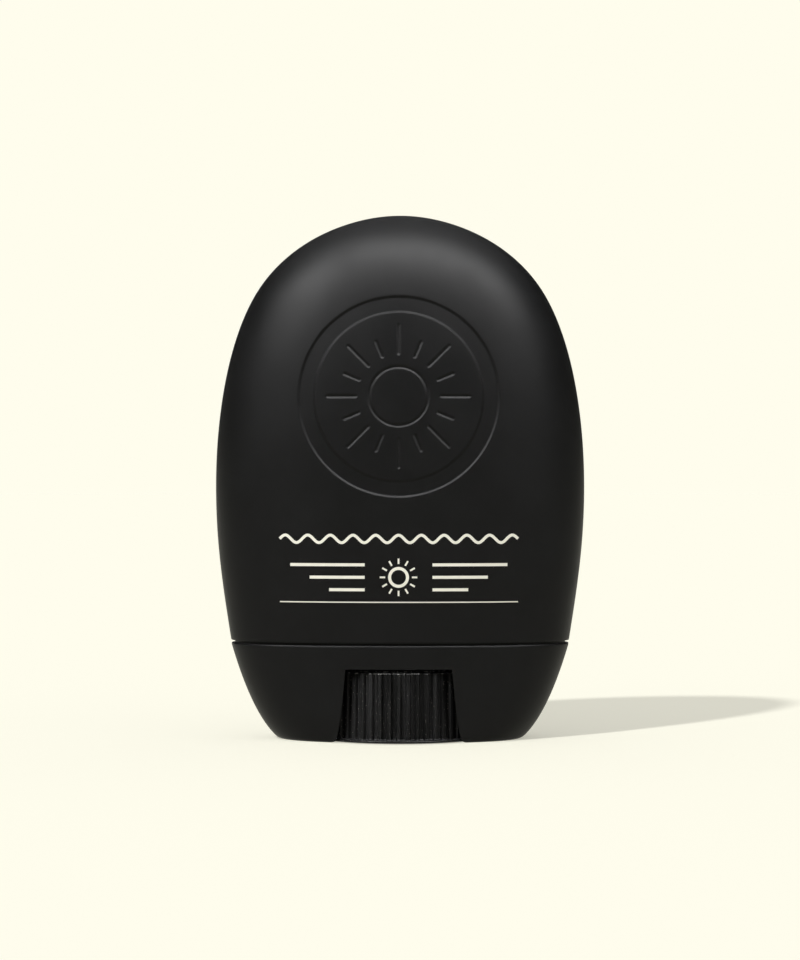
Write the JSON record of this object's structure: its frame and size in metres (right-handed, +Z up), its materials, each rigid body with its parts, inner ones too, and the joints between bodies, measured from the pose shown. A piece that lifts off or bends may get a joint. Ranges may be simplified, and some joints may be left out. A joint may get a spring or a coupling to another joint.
{
  "type": "sunscreen stick",
  "caption": "Oval wind-up sunscreen stick with a domed pull-off cap, a ribbed thumbwheel in the base, and a lead screw that lifts the balm through an oval barrel.",
  "frame": {"origin": "middle of the flat underside that the closed stick stands on", "axes": "+Z up along the screw, through the middle of the cap; X across the wide front; -Y out of the front"},
  "size_m": [0.0424, 0.0198, 0.06],
  "materials": {
    "soft_touch_black": "soft-touch matte",
    "moulded_black": "semi-gloss moulded",
    "liner_grey": "satin moulded",
    "seal_white": "satin moulded",
    "balm_cream": "smooth waxy",
    "carrier_white": "satin moulded"
  },
  "bodies": {
    "base": {"base_shell": "soft_touch_black", "barrel": "moulded_black"},
    "wheel": {"thumbwheel": "moulded_black", "lead_screw": "carrier_white"},
    "carrier": {"elevator": "carrier_white", "balm": "balm_cream"},
    "seal": {"seal_cover": "seal_white"},
    "cap": {"cap_shell": "soft_touch_black", "cap_liner": "liner_grey"}
  },
  "joints": [
    {"name": "wheel_spin", "type": "hinge", "parent": "base", "child": "wheel", "pos_m": [0, 0, 0.004], "axis": [0, 0, -1], "range_deg": [0, 2880]},
    {"name": "balm_lift", "type": "slide", "parent": "base", "child": "carrier", "axis": [0, 0, 1], "range_m": [0, 0.024]},
    {"name": "seal_lift", "type": "slide", "parent": "carrier", "child": "seal", "axis": [0, 0, 1], "range_m": [0, 0.02]},
    {"name": "cap_lift", "type": "slide", "parent": "seal", "child": "cap", "axis": [0, 0, 1], "range_m": [0, 0.062]}
  ],
  "couplings": [
    {"joint": "wheel_spin", "follows": "balm_lift", "rad_per_m": 2094.4}
  ]
}
